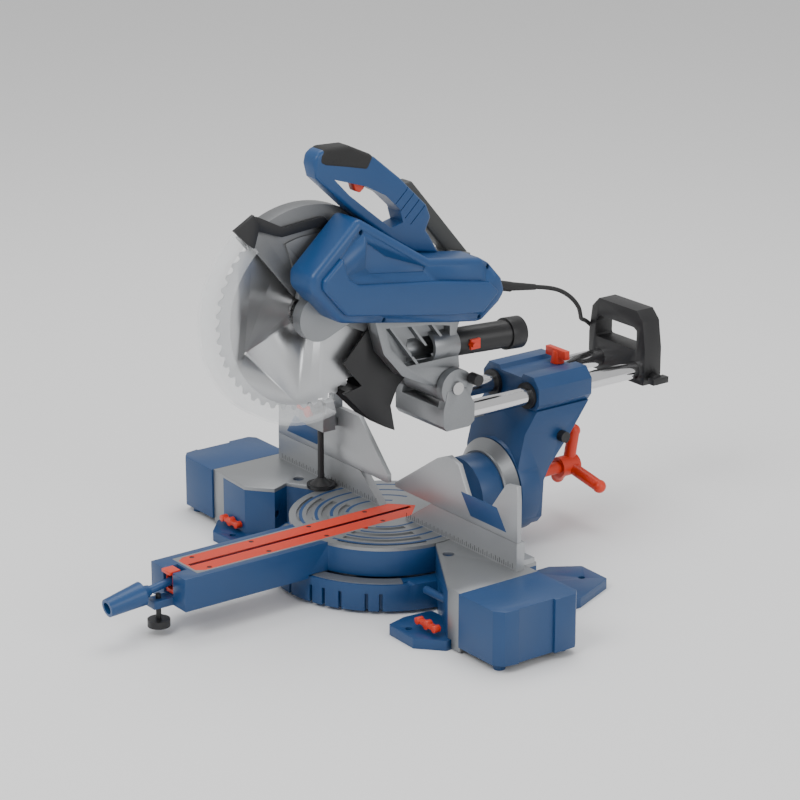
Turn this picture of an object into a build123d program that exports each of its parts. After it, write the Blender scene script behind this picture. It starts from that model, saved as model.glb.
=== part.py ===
"""Sliding compound mitre saw, millimetres.

X is the operator's right, Y points away from the operator, Z is up.
The origin is on the bench, under the turntable's axis.
"""
import math
import os

from build123d import *

# ---- driving dimensions ----------------------------------------------------
TABLE_Z = 96.0          # top of the tables above the bench
BLADE_R = 152.5         # 305 mm blade
BLADE_Y = -150.0        # arbor axis at rest
BLADE_Z = 451.0
PIVOT_Y = 95.0          # chop pivot axis
PIVOT_Z = 298.0
DISC_R = 148.0          # turntable
RIM_R = 178.0           # fixed ring around it
FENCE_Y = 13.5          # working face of the fences
RAIL_X = 43.0
RAIL_Z = 251.0
RAIL_R = 14.5
RUN = 0.05              # running clearance on a radius
GAP = 0.4               # clearance between moving neighbours
ARM_HALF = 47.0
ARM_FRONT = -395.0
INSERT_HALF = 31.0
HOUSING_FRONT = 250.0
HOUSING_REAR = 358.0
MOTOR_Y = -40.0
MOTOR_Z = 485.0
CORD_R = 3.5
PORT_X = 28.0


# ---- helpers ---------------------------------------------------------------
def block(x0, x1, y0, y1, z0, z1):
    """Box given by its two corners."""
    size = Box(x1 - x0, y1 - y0, z1 - z0)
    return Pos((x0 + x1) / 2, (y0 + y1) / 2, (z0 + z1) / 2) * size


def rod(start, end, radius, end_radius=None):
    """Cylinder, or cone, from one point to another."""
    a, b = Vector(*start), Vector(*end)
    plane = Plane(origin=a, z_dir=(b - a).normalized())
    height = (b - a).length
    lift = Pos(0, 0, height / 2)
    if end_radius is None:
        return plane * lift * Cylinder(radius, height)
    return plane * lift * Cone(radius, end_radius, height)


def outline(points, corner=0.0):
    """Closed face through the points, its corners rounded."""
    face = Polygon(*points, align=None)
    if corner:
        face = fillet(face.vertices(), corner)
    return face


def slab_z(points, z0, z1, corner=0.0):
    """Outline in X and Y, from z0 up to z1."""
    return extrude(Plane.XY.offset(z0) * outline(points, corner), z1 - z0, dir=(0, 0, 1))


def slab_x(points, x0, x1, corner=0.0):
    """Outline in Y and Z, from x0 to x1."""
    return extrude(Plane.YZ.offset(x0) * outline(points, corner), x1 - x0, dir=(1, 0, 0))


def slab_y(points, y0, y1, corner=0.0):
    """Outline in X and Z, from y0 to y1."""
    plane = Plane(origin=(0, y1, 0), x_dir=(1, 0, 0), z_dir=(0, -1, 0))
    return extrude(plane * outline(points, corner), y1 - y0, dir=(0, -1, 0))


def sector(radius, low, high, steps=24):
    """Points of a pie slice about the origin, angles in degrees."""
    points = [(0.0, 0.0)]
    for i in range(steps + 1):
        angle = math.radians(low + (high - low) * i / steps)
        points.append((radius * math.cos(angle), radius * math.sin(angle)))
    return points


def moved(points, dx, dy):
    return [(x + dx, y + dy) for x, y in points]


def flipped(points):
    """Outline mirrored left to right."""
    return [(-x, y) for x, y in reversed(points)]


def ring_x(y, z, r_out, r_in, x0, x1):
    """Ring about an axis along X."""
    return rod((x0, y, z), (x1, y, z), r_out) - rod((x0 - 1, y, z), (x1 + 1, y, z), r_in)


def disc_x(y, z, radius, x0, x1):
    return rod((x0, y, z), (x1, y, z), radius)


def blade_sector(r_out, r_in, low, high, x0, x1):
    """Ring sector about the blade axis, in the blade's own plane."""
    pie = slab_x(moved(sector(r_out * 1.3, low, high), BLADE_Y, BLADE_Z), x0, x1)
    return ring_x(BLADE_Y, BLADE_Z, r_out, r_in, x0, x1) & pie


def hull_x(circles, x0, x1):
    """Belt-shaped slab around circles given as (y, z, radius)."""
    edges = []
    for y, z, radius in circles:
        edges += (Pos(y, z) * Circle(radius)).edges()
    return extrude(Plane.YZ.offset(x0) * make_hull(edges), x1 - x0, dir=(1, 0, 0))


def fuse(*shapes):
    whole = shapes[0]
    for shape in shapes[1:]:
        whole = whole + shape
    return whole


# ---- base ------------------------------------------------------------------
RIGHT_BLOCK = [(142, -9), (293, -102), (297, -104), (297, 62), (142, 62)]
LEFT_BLOCK = [(-142, -9), (-204, -44), (-191, -76), (-229, -108), (-297, -104), (-297, 62), (-142, 62)]
LUG_FRONT = [(196, -108), (205, -143), (268, -145), (305, -111), (297, -60), (200, -60)]
LUG_REAR = [(171, 150), (171, 192), (199, 235), (262, 233), (297, 150), (297, 55), (160, 55)]
LUG_TOP = 16.0
LUG_HOLE = 5.5
LUG_HOLES = [(235, -128), (235, 204)]
SOCKETS = [(194, -23.5), (-208, -18)]
WELL_R = 150.0
ROD_YS = (-70, 15)
ROD_R = 6.0
REAR_RELIEF = [(100, 25), (148, 38), (214, 87), (100, 87)]


def base_casting():
    floor = Cylinder(RIM_R, 18, align=(Align.CENTER, Align.CENTER, Align.MIN))
    body = Pos(0, 0, 6) * floor
    rim = Pos(0, 0, 24) * Cylinder(RIM_R, 24, align=(Align.CENTER, Align.CENTER, Align.MIN))
    rim -= block(-200, 200, 20, 200, 20, 60)
    body += rim
    for side, points in ((1, RIGHT_BLOCK), (-1, LEFT_BLOCK)):
        shell = slab_z(points, 0, 90)
        inner = offset(Plane.XY.offset(-1) * outline(points), -7)
        body += shell - extrude(inner, 84, dir=(0, 0, 1))
        lug = slab_z(LUG_FRONT if side > 0 else flipped(LUG_FRONT), 0, LUG_TOP, 5)
        rear = slab_z(LUG_REAR if side > 0 else flipped(LUG_REAR), 0, LUG_TOP, 5)
        body += lug + rear
        for y in ROD_YS:
            body -= rod((side * 150, y, 52), (side * 300, y, 52), ROD_R + RUN)
        relief = REAR_RELIEF if side > 0 else flipped(REAR_RELIEF)
        body -= slab_z(relief, LUG_TOP, 100)
    body -= Pos(0, 0, 24) * Cylinder(WELL_R, 90, align=(Align.CENTER, Align.CENTER, Align.MIN))
    for i in range(4):
        body -= slab_z(sector(140, 20 + 90 * i, 70 + 90 * i), 0, 18) - Cylinder(60, 60)
    for x, y in LUG_HOLES:
        for side in (-1, 1):
            body -= Pos(side * x, y, 8) * Cylinder(LUG_HOLE, 30)
    body -= Cylinder(12 + RUN, 80)
    for angle in (-52, -45, -31.6, -22.5, -15, 0, 15, 22.5, 31.6, 45, 52):
        notch = slab_z([(-3, -RIM_R - 2), (3, -RIM_R - 2), (2, -RIM_R + 7), (-2, -RIM_R + 7)], 4, 34)
        body -= Rot(0, 0, angle) * notch
    return body


def side_tables():
    """Grey plates on the blocks, with the end rail that the side box meets."""
    both = []
    for side, points in ((1, RIGHT_BLOCK), (-1, LEFT_BLOCK)):
        plate = slab_z(points, 90, TABLE_Z)
        plate -= Pos(0, 0, 90) * Cylinder(WELL_R, 20, align=(Align.CENTER, Align.CENTER, Align.MIN))
        x0, x1 = sorted((side * 297, side * 326))
        rail = block(x0, x1, -104, 40, 3, TABLE_Z)
        rail -= block(*sorted((side * 290, side * 306)), -120, -58, 0, LUG_TOP + 0.3)
        x2, x3 = sorted((side * 303, side * 327))
        rail -= block(x2, x3, -98, 34, -1, 88)
        plate -= slab_z(REAR_RELIEF if side > 0 else flipped(REAR_RELIEF), 80, 100)
        socket_x, socket_y = SOCKETS[0] if side > 0 else SOCKETS[1]
        plate -= Pos(socket_x, socket_y, 93) * Cylinder(9, 20)
        both.append(plate + rail)
        for y in ROD_YS:
            both[-1] -= rod((side * 290, y, 52), (side * 330, y, 52), ROD_R + RUN)
    return both[0] + both[1]


def mitre_scale():
    plate = Pos(0, 0, 48) * Cylinder(174, 1.5, align=(Align.CENTER, Align.CENTER, Align.MIN))
    plate -= Cylinder(154, 200)
    return plate & slab_z(sector(300, 207, 333), 30, 60)


def pivot_bolt():
    head = Cylinder(16, 6, align=(Align.CENTER, Align.CENTER, Align.MIN))
    shank = Pos(0, 0, 6) * Cylinder(12, 70, align=(Align.CENTER, Align.CENTER, Align.MIN))
    return head + shank


FIXED_RIGHT = [(36, 96), (310, 96), (310, 140), (102, 140)]
FIXED_LEFT = [(-310, 96), (-30, 96), (-82, 140), (-310, 140)]
UPPER_RIGHT = [(11, 140.4), (10, 147), (117, 218), (144, 229), (169, 222), (193, 176.6), (244, 172.8),
               (283, 224.6), (308, 228), (310, 206), (310, 140.4)]
UPPER_LEFT = [(-10, 140.4), (-10, 153), (-84, 229), (-138, 229), (-160, 218), (-190, 182), (-228, 172),
              (-252, 202), (-308, 206), (-310, 140.4)]
FENCE_DEEP = 28.0       # rear face of the fixed fences
UPPER_DEEP = 21.5       # rear face of the sliding plates


def fence_fixed(points, side):
    wall = slab_y(points, FENCE_Y, FENCE_DEEP)
    x0, x1 = sorted((side * 150, side * 297))
    foot = block(x0, x1, FENCE_DEEP - 0.01, 58, 96, 104)
    x2, x3 = sorted((side * 90, side * 300))
    foot -= slab_z(REAR_RELIEF if side > 0 else flipped(REAR_RELIEF), 90, 110)
    return wall + foot - block(x2, x3, UPPER_DEEP, FENCE_DEEP + 0.1, 112, 141)


def fence_upper(points, side):
    """Sliding fence: a thin plate with a tongue that hangs behind the fixed fence."""
    wall = slab_y(points, FENCE_Y, UPPER_DEEP)
    x0, x1 = sorted((side * 100, side * 190))
    tongue = block(x0, x1, UPPER_DEEP - 0.01, UPPER_DEEP + 5.5, 114, 160)
    tongue -= block(x0 - 1, x1 + 1, FENCE_Y, UPPER_DEEP + 0.35, 100, 140.4)
    return wall + tongue


# ---- clamp -----------------------------------------------------------------
CLAMP_X = -156.0
CLAMP_Y = -10.0


def clamp_column():
    """Post behind the fence with the head that guides the clamp rod."""
    post = rod((CLAMP_X - 34, 44, 104), (CLAMP_X - 34, 44, 232), 7)
    arm = block(CLAMP_X - 42, CLAMP_X + 14, CLAMP_Y - 12, 52, 198, 212)
    arm -= block(CLAMP_X - 60, CLAMP_X + 40, FENCE_Y - 0.6, UPPER_DEEP + 0.6, 100, 243)
    head = block(CLAMP_X - 24, CLAMP_X + 24, CLAMP_Y - 12, CLAMP_Y + 12, 196, 228)
    head += block(CLAMP_X + 9, CLAMP_X + 29, CLAMP_Y - 10, CLAMP_Y + 10, 226, 246)
    bridge = block(CLAMP_X - 42, CLAMP_X - 20, CLAMP_Y - 12, 52, 244, 256)
    riser = block(CLAMP_X - 42, CLAMP_X - 26, CLAMP_Y - 12, CLAMP_Y + 8, 200, 256)
    rear = block(CLAMP_X - 42, CLAMP_X - 26, 36, 52, 200, 256)
    whole = fuse(head, arm, bridge, riser, rear, post)
    return whole - rod((CLAMP_X, CLAMP_Y, 190), (CLAMP_X, CLAMP_Y, 240), 5 + RUN)


def clamp_spindle():
    shaft = rod((CLAMP_X, CLAMP_Y, 110), (CLAMP_X, CLAMP_Y, 236), 5)
    cone = rod((CLAMP_X, CLAMP_Y, 100), (CLAMP_X, CLAMP_Y, 112), 20, 6)
    pad = rod((CLAMP_X, CLAMP_Y, 96.6), (CLAMP_X, CLAMP_Y, 102), 23)
    return shaft + cone + pad


def clamp_knob():
    start = (CLAMP_X + 20, CLAMP_Y - 12.4, 239)
    return rod(start, (CLAMP_X + 20, CLAMP_Y - 27, 239), 10.5)


def clamp_lever():
    """Quick release on the front of the clamp head."""
    bar = block(CLAMP_X - 46, CLAMP_X - 2, CLAMP_Y - 17, CLAMP_Y - 12.4, 221, 230)
    return bar + rod((CLAMP_X - 10, CLAMP_Y - 20, 222), (CLAMP_X - 10, CLAMP_Y - 12.4, 222), 8)


# ---- side boxes ------------------------------------------------------------
BOX = [(326.6, -107), (406, -107), (420, -96), (424, -73), (421, -73), (421, -8), (426, -8), (426, 30),
       (416, 39.5), (326.6, 39.5)]


def side_box(side):
    points = BOX if side > 0 else flipped(BOX)
    body = slab_z(points, 12, TABLE_Z)
    inner = offset(Plane.XY.offset(5) * outline(points), -5)
    body -= extrude(inner, 85, dir=(0, 0, 1))
    for y in ROD_YS:
        body += rod((side * 200, y, 52), (side * 326.8, y, 52), ROD_R)
        body += rod((side * 325.5, y, 52), (side * 350, y, 52), 11)
    for y in (-88, 26):
        body += rod((side * 398, y, 0), (side * 398, y, 12.5), 9)
        body += rod((side * 398, y, 12), (side * 398, y, 92), 6)
    return body


def box_latch(side):
    """Two-lobed lever lying on the front lug."""
    hub = rod((side * 262, -118.5, 28), (side * 262, -108.5, 28), 7)
    lobes = block(side * 262 - 22, side * 262 + 22, -118, -109, 25, 31)
    tips = rod((side * 262 - 20, -119, 28), (side * 262 - 20, -108.5, 28), 5.5)
    tips += rod((side * 262 + 20, -119, 28), (side * 262 + 20, -108.5, 28), 5.5)
    pin = rod((side * 262, -109, 28), (side * 262, -107, 28), 3)
    return hub + lobes + tips + pin


# ---- turntable and arm -----------------------------------------------------
def turntable_casting():
    drum = Pos(0, 0, 50.4) * Cylinder(DISC_R, 40.6, align=(Align.CENTER, Align.CENTER, Align.MIN))
    drum -= Pos(0, 0, 43) * Cylinder(DISC_R - 7, 36, align=(Align.CENTER, Align.CENTER, Align.MIN))
    boss = Pos(0, 0, 24.4) * Cylinder(40, 60, align=(Align.CENTER, Align.CENTER, Align.MIN))
    arm = block(-ARM_HALF, ARM_HALF, ARM_FRONT, -120, 45, TABLE_Z)
    arm -= Pos(0, 0, 30) * Cylinder(182, 20.4, align=(Align.CENTER, Align.CENTER, Align.MIN))
    arm -= block(-ARM_HALF + 7, ARM_HALF - 7, ARM_FRONT + 34, -139, 44, 79)
    tab = block(-12, 12, -427, ARM_FRONT + 1, 45, 57)
    body = drum + boss + arm + tab
    web = block(-36, 36, -142, 142, 60, 88)
    body += web
    neck = block(-44, 44, 136, 160, 44, 96)
    neck += rod((0, 150, TABLE_Z), (0, 200, TABLE_Z), 58)
    body += neck
    body -= block(-DISC_R, DISC_R, -DISC_R, 0, 91, 97) & Cylinder(DISC_R + 0.01, 400)
    body -= block(-35, 35, -366, -100, 91, 97)
    body -= Pos(0, 0, 91) * Cylinder(DISC_R + 0.01, 20, align=(Align.CENTER, Align.CENTER, Align.MIN))
    body += block(-44, 44, DISC_R - 8, DISC_R + 12, 60, 91)
    body -= block(-12, 12, -358, 53, 79, 97)
    body -= block(-13, 13, ARM_FRONT - 1, -370, 58, 98)
    body -= rod((0, -430, 72.5), (0, -352, 84.2), 6.3)
    body -= rod((0, -413, 30), (0, -413, 70), 4 + RUN)
    body -= rod((0, 151, TABLE_Z), (0, 230, TABLE_Z), 10 + RUN)
    body -= Cylinder(12 + RUN, 400) & block(-20, 20, -20, 20, 0, 77)
    return body


def turntable_top():
    """Machined top with the concentric grooves that show the casting below."""
    plate = Pos(0, 0, 91) * Cylinder(DISC_R, 5, align=(Align.CENTER, Align.CENTER, Align.MIN))
    plate += block(-34.9, 34.9, -365.8, -60, 91, TABLE_Z)
    for r_in, r_out in ((62, 72), (88, 98), (112, 121), (131, 137)):
        band = Pos(0, 0, 92.5) * (Cylinder(r_out, 20) - Cylinder(r_in, 30))
        plate -= (Pos(0, 0, 10) * band) & (
            slab_z(sector(300, 200, 248), 92.5, 120) + slab_z(sector(300, 292, 352), 92.5, 120))
    return plate - slab_z(INSERT, 90, 97)


INSERT = [(-INSERT_HALF, -350), (-23, -362), (23, -362), (INSERT_HALF, -350), (INSERT_HALF, 30), (0, 61),
          (-INSERT_HALF, 30)]
SCREW_YS = (-338, -232, -126, -20)
SLOT_TOP = 3.6
SLOT_BOTTOM = 9.0


def kerf_insert():
    plate = slab_z(INSERT, 91, 95.8)
    wedge = [(-SLOT_BOTTOM, 90.9), (SLOT_BOTTOM, 90.9), (SLOT_TOP, 95.9), (-SLOT_TOP, 95.9)]
    plate -= slab_y(wedge, -358, 51)
    for y in SCREW_YS:
        for x in (-24, 24):
            plate -= Pos(x, y, 93) * Cylinder(4, 20)
    return plate


def insert_screws():
    screws = []
    for y in SCREW_YS:
        for x in (-24, 24):
            screws.append(rod((x, y, 91), (x, y, 95.2), 3.8))
    return Compound(children=screws)


def bevel_scale():
    """Conical scale ring on the trunnion."""
    outer = rod((0, 196, TABLE_Z), (0, 210, TABLE_Z), 61, 78)
    inner = rod((0, 195.9, TABLE_Z), (0, 210.1, TABLE_Z), 58.1, 75)
    collar = rod((0, 192, TABLE_Z), (0, 197, TABLE_Z), 61) - rod((0, 190, TABLE_Z), (0, 199, TABLE_Z), 58.1)
    ring = outer - inner + collar
    return ring & slab_y(moved(sector(200, 8, 172), 0, TABLE_Z), 180, 220)


def arm_knob():
    grip = rod((0, -500, 62), (0, -441, 70.85), 14, 18.5)
    grip -= rod((0, -501, 61.85), (0, -480, 65), 9)
    neck = rod((0, -442, 70.7), (0, -428, 72.8), 12, 8)
    stem = rod((0, -430, 72.5), (0, -354, 83.9), 6.2)
    return grip + neck + stem


def detent_lever():
    plate = block(-10, 10, -392, -386, 60, 94)
    pad = block(-11, 11, -399, -380, 92, 97)
    plate -= block(-7.2, 7.2, -400, -380, 66, 90)
    pin = rod((-12.6, -389, 62.5), (12.6, -389, 62.5), 2.4)
    return plate + pad + pin


def arm_foot():
    stud = rod((0, -413, 22), (0, -413, 64), 4)
    return stud + rod((0, -413, 13), (0, -413, 24), 17)


# ---- bevel -----------------------------------------------------------------
def tilt_arm():
    side = [(214, 40), (262, 40), (266, 112), (278, 134), (318, 179), (356, 229), (250, 229), (226, 196),
            (214, 150)]
    body = slab_x(side, -66, 66)
    body -= slab_x([(275, 20), (275, 125), (290, 150), (345, 225), (420, 225), (420, 20)], -58, 58)
    body = body & (rod((0, 200, TABLE_Z), (0, 400, TABLE_Z), 79) + block(-80, 80, 200, 400, 120, 300))
    body += rod((0, 212.4, TABLE_Z), (0, 250, TABLE_Z), 79)
    body -= rod((0, 190, TABLE_Z), (0, 222, TABLE_Z), 62)
    cross = [(-70, 240), (-62, 229), (62, 229), (70, 240), (70, 266), (56, 283), (30, 283), (26, 276),
             (-26, 276), (-30, 283), (-56, 283), (-70, 266)]
    body += slab_y(cross, HOUSING_FRONT, HOUSING_REAR)
    for x in (-RAIL_X, RAIL_X):
        body -= rod((x, 240, RAIL_Z), (x, 400, RAIL_Z), 18)
    body -= rod((0, 180, TABLE_Z), (0, 420, TABLE_Z), 10 + RUN)
    body -= rod((30, 300, 180), (90, 300, 180), 5 + RUN)
    body -= rod((0, 345, 262), (0, 345, 300), 5 + RUN)
    return body + cord_clip_arm()


def rail_bushes():
    """Slide bushes at both ends of both bores, with the wiper seals in front."""
    rings = []
    for x in (-RAIL_X, RAIL_X):
        for y0, y1 in ((HOUSING_FRONT, 276), (HOUSING_REAR - 26, HOUSING_REAR)):
            ring = rod((x, y0, RAIL_Z), (x, y1, RAIL_Z), 18)
            rings.append(ring - rod((x, y0 - 1, RAIL_Z), (x, y1 + 1, RAIL_Z), RAIL_R + RUN))
        seal = rod((x, 244, RAIL_Z), (x, HOUSING_FRONT, RAIL_Z), 21)
        rings.append(seal - rod((x, 243, RAIL_Z), (x, 251, RAIL_Z), RAIL_R + RUN))
    return Compound(children=rings)


def bevel_lever():
    """Three-lobed lever with the bolt that clamps the tilt arm to the trunnion."""
    body = rod((0, 153, TABLE_Z), (0, 372, TABLE_Z), 10)
    body += rod((0, 350, TABLE_Z), (0, 386, TABLE_Z), 17)
    for angle, reach in ((92, 56), (-18, 68), (-140, 52)):
        a = math.radians(angle)
        tip = (reach * math.cos(a), 384, TABLE_Z + reach * math.sin(a))
        body += rod((0, 372, TABLE_Z), tip, 10)
        body += Pos(*tip) * Sphere(11)
    return body


def bevel_stop_pin():
    return rod((52, 300, 180), (66.5, 300, 180), 5) + rod((66.3, 300, 180), (78, 300, 180), 9)


def slide_lock():
    body = rod((0, 345, 268), (0, 345, 285), 5) + rod((0, 345, 276.4), (0, 345, 296), 11, 8)
    return body + block(-24, 24, 340, 350, 286, 300)


# ---- carriage --------------------------------------------------------------
def rails():
    tubes = []
    for x in (-RAIL_X, RAIL_X):
        tube = rod((x, 72, RAIL_Z), (x, 500, RAIL_Z), RAIL_R)
        tubes.append(tube - rod((x, 71, RAIL_Z), (x, 501, RAIL_Z), RAIL_R - 3))
    return Compound(children=tubes)


def arm_carrier():
    side = [(68, 240), (74, 232), (118, 232), (128, 240), (128, 268), (112, 296), (76, 296), (68, 266)]
    body = slab_x(side, -62, 62)
    ears = ring_x(PIVOT_Y, PIVOT_Z, 30, 10 + RUN, -61, -47) + ring_x(PIVOT_Y, PIVOT_Z, 30, 10 + RUN, 47, 61)
    body += ears
    body -= block(-46.6, 46.6, 40, 160, 268.4, 340)
    body -= disc_x(PIVOT_Y, PIVOT_Z, 30.5, -46.6, 46.6)
    for x in (-RAIL_X, RAIL_X):
        body -= rod((x, 72, RAIL_Z), (x, 200, RAIL_Z), RAIL_R)
    body -= disc_x(PIVOT_Y, PIVOT_Z, 10 + RUN, -70, 70)
    body -= rod((40, 122, 310), (90, 122, 310), 5 + RUN)
    return body


def rear_bracket():
    shape = [(-66, 229), (66, 229), (69, 240), (69, 290), (62, 335), (46, 351), (-46, 351), (-62, 335),
             (-69, 290), (-69, 240)]
    body = slab_y(shape, 470, 505)
    window = [(-52, 285), (48, 285), (48, 318), (40, 322), (-44, 322), (-52, 312)]
    body -= slab_y(window, 460, 520, 4)
    for x in (-RAIL_X, RAIL_X):
        body -= rod((x, 460, RAIL_Z), (x, 500, RAIL_Z), RAIL_R)
    body -= rod((50, 488, 240), (90, 488, 240), 5 + RUN)
    return body + cord_clip_bracket()


def bracket_knob():
    body = rod((60, 488, 240), (72, 488, 240), 5) + rod((69.4, 488, 240), (82, 488, 240), 9)
    return body + block(76, 90, 472, 504, 235, 245)


def chop_pin():
    return rod((-64, PIVOT_Y, PIVOT_Z), (64, PIVOT_Y, PIVOT_Z), 10)


def head_lock_pin():
    return rod((47.5, 122, 310), (63, 122, 310), 5) + rod((61.4, 122, 310), (80, 122, 310), 9)


# ---- saw head --------------------------------------------------------------
COVER = [(-110, 605), (-194, 530), (-194, 506), (-145, 451), (61, 415), (118, 407), (153, 432), (165, 447),
         (158, 469), (133, 497), (117, 507), (20, 522)]
COVER_IN = 28.0
COVER_OUT = 100.0


def head_casting():
    plate = [(-112, 545), (-168, 515), (-176, 480), (-120, 440), (-48, 425), (-33, 372), (2, 331), (70, 300),
             (111, 325), (105, 384), (118, 420), (150, 450), (150, 478), (115, 500), (20, 515)]
    body = slab_x(plate, 19.6, 27.6)
    ribs = [(-48, 423), (-33, 372), (2, 331), (66, 300), (111, 325), (105, 384), (112, 403), (61, 411),
            (-46, 431)]
    body -= disc_x(-112, 570, 16, 19, 28)
    body += slab_x(ribs, 27.5, 45) - slab_x([(-30, 412), (-20, 378), (10, 345), (60, 345), (92, 345),
                                             (92, 395), (55, 403)], 30, 46)
    for a, b in (((-20, 412), (50, 320)), ((20, 408), (75, 335)), ((60, 402), (100, 350))):
        body += hull_x([(*a, 2), (*b, 2)], 27.5, 44)
    body += disc_x(PIVOT_Y, PIVOT_Z, 27, -46, 46)
    rear = [(36, 330), (70, 300), (111, 325), (105, 384), (118, 420), (150, 450), (150, 495), (112, 505),
            (60, 470), (36, 420)]
    body += slab_x(rear, -16, 20)
    body += rod((PORT_X, 60, 363.5), (PORT_X, 108, 361), 24) & block(-16, 60, 60, 108, 330, 400)
    body -= rod((PORT_X, 20, 365.6), (PORT_X, 160, 358.2), 17.5)
    body -= disc_x(PIVOT_Y, PIVOT_Z, 10 + RUN, -70, 70)
    body -= disc_x(PIVOT_Y, PIVOT_Z, 32, 47, 80)
    body -= disc_x(BLADE_Y, BLADE_Z, 13, 0, 40)
    body -= disc_x(MOTOR_Y, MOTOR_Z, 20, 0, 40)
    body -= rod((-60, 122, 310), (90, 122, 310), 5.4)
    return body - carry_handle() - upper_guard() - strain_relief() - motor_cover() - handle_shells()


def upper_guard():
    plates = blade_sector(164, 40, -25, 130, 12, 15) + blade_sector(164, 40, -25, 130, -15, -12)
    rim = blade_sector(164, 160.5, -25, 130, -15, 15)
    body = plates + rim
    body += blade_sector(120, 52, -10, 110, 14.9, 19.6)
    for angle in (0, 60, 100):
        a = math.radians(angle)
        y, z = BLADE_Y + 86 * math.cos(a), BLADE_Z + 86 * math.sin(a)
        body -= disc_x(y, z, 2.5, 10, 24)
    body -= disc_x(MOTOR_Y, MOTOR_Z, 22, 16, 30)
    return body


def drive_housing():
    """Pill-shaped housing over the belt, with the motor's mounting bore."""
    outer = hull_x([(BLADE_Y, BLADE_Z, 36), (MOTOR_Y, MOTOR_Z, 26)], 27.6, 47)
    inner = hull_x([(BLADE_Y, BLADE_Z, 32), (MOTOR_Y, MOTOR_Z, 22)], 27, 44)
    body = outer - inner
    body -= disc_x(MOTOR_Y, MOTOR_Z, 12, 40, 60)
    body -= disc_x(BLADE_Y, BLADE_Z, 8 + RUN, 40, 46)
    return body


def motor_cover():
    outer = slab_x(COVER, COVER_IN, COVER_OUT - 12)
    rim = Plane.YZ.offset(COVER_OUT - 12) * outline(COVER)
    crown = Plane.YZ.offset(COVER_OUT) * offset(outline(COVER), -11)
    outer += loft([rim.face(), crown.face()])
    inner = Plane.YZ.offset(COVER_IN - 1) * offset(outline(COVER), -4)
    inner = extrude(inner, COVER_OUT - 14 - COVER_IN, dir=(1, 0, 0))
    body = outer - inner
    body -= hull_x([(BLADE_Y, BLADE_Z, 36.5), (MOTOR_Y, MOTOR_Z, 26.5)], 20, 47.5)
    body -= rod((40, 140, 454.5), (40, 213, 434.5), 8 + RUN)
    return body


def motor():
    """Stator can, held on the belt housing."""
    can = ring_x(MOTOR_Y, MOTOR_Z, 32, 25, 47, 84)
    front = ring_x(MOTOR_Y, MOTOR_Z, 32, 12, 47, 50)
    back = ring_x(MOTOR_Y, MOTOR_Z, 32, 5.05, 81, 84)
    return can + front + back


def rotor():
    shaft = disc_x(MOTOR_Y, MOTOR_Z, 5, 29, 84)
    core = disc_x(MOTOR_Y, MOTOR_Z, 24, 54, 76)
    pulley = disc_x(MOTOR_Y, MOTOR_Z, 12, 29.5, 42)
    return shaft + core + pulley


def drive_belt():
    outer = hull_x([(BLADE_Y, BLADE_Z, 27), (MOTOR_Y, MOTOR_Z, 15)], 31, 41)
    return outer - hull_x([(BLADE_Y, BLADE_Z, 24.3), (MOTOR_Y, MOTOR_Z, 12.3)], 30, 42)


HANDLE = [(-157, 680), (-154, 694), (-143, 702), (-95, 700), (-48, 678), (-2, 640), (47, 592), (56, 572),
          (46, 552), (52, 545), (72, 512), (20, 523), (-20, 548), (-90, 602), (-152, 660)]
FINGER = [(-122, 655), (-66, 637), (-30, 618), (-4, 593), (2, 572), (-20, 566), (-62, 600), (-96, 628)]


TRIGGER = [(-139, 670), (-134, 654), (-122, 650), (-112, 655), (-84, 646), (-79, 633), (-70, 629), (-62, 633),
           (-64, 644), (-88, 656)]
TRIGGER_PIVOT = (-66, 634)
LOCK_OFF = (-40, 650)


def handle_shells():
    """Two halves of the D-handle, split down the middle."""
    whole = slab_x(HANDLE, 13, 47, 5) - slab_x(FINGER, 0, 60, 3)
    for lift in (0, 3, 6):
        pocket = Pos(*TRIGGER_PIVOT) * Rot(0, 0, -lift) * Pos(-TRIGGER_PIVOT[0], -TRIGGER_PIVOT[1])
        pocket = pocket * offset(outline(TRIGGER), 1.2)
        whole -= extrude(Plane.YZ.offset(21.2) * pocket, 17.6, dir=(1, 0, 0))
    whole -= disc_x(BLADE_Y, BLADE_Z, 174, 0, 20.6)
    whole -= slab_x(COVER, COVER_IN - 0.1, COVER_OUT)
    whole -= rod((10, *LOCK_OFF), (30, *LOCK_OFF), 4.5 + RUN)
    whole -= disc_x(*TRIGGER_PIVOT, 3 + RUN, 17.8, 42.2)
    py, pz = TRIGGER_PIVOT
    for pull in (0, 0.8, 1.6, 2.4, 3.2, 4, 4.8, 5.4):
        turn, grow = math.radians(pull), 1.03
        swept = [(py + grow * ((y - py) * math.cos(turn) + (z - pz) * math.sin(turn)),
                  pz + grow * ((z - pz) * math.cos(turn) - (y - py) * math.sin(turn))) for y, z in TRIGGER]
        whole -= slab_x(swept, 21.6, 38.4)
    whole -= grip_pad()
    left = whole & block(0, 30, -300, 300, 400, 800)
    right = whole & block(30, 60, -300, 300, 400, 800)
    return Compound(children=left.solids() + right.solids())


def grip_pad():
    """Rubber over the top of the grip, let into the shells."""
    shape = [(-150, 682), (-147, 694), (-139, 703), (-95, 701), (-50, 680), (-62, 659), (-100, 668), (-138, 676)]
    cut = slab_x(shape, 12, 48)
    return cut - slab_x([(-170, 600), (-170, 690), (-140, 694), (-95, 692), (-40, 668), (-40, 600)], 17, 43)


def trigger():
    return slab_x(TRIGGER, 22, 38) + disc_x(*TRIGGER_PIVOT, 3, 18, 42)


def lock_off():
    return rod((9, *LOCK_OFF), (24, *LOCK_OFF), 4.5)


def carry_handle():
    line = [(20, 612), (38, 618), (52, 606), (150, 494), (128, 480), (60, 560), (34, 596), (22, 598)]
    return slab_x(line, -13, 12.9)


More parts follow.
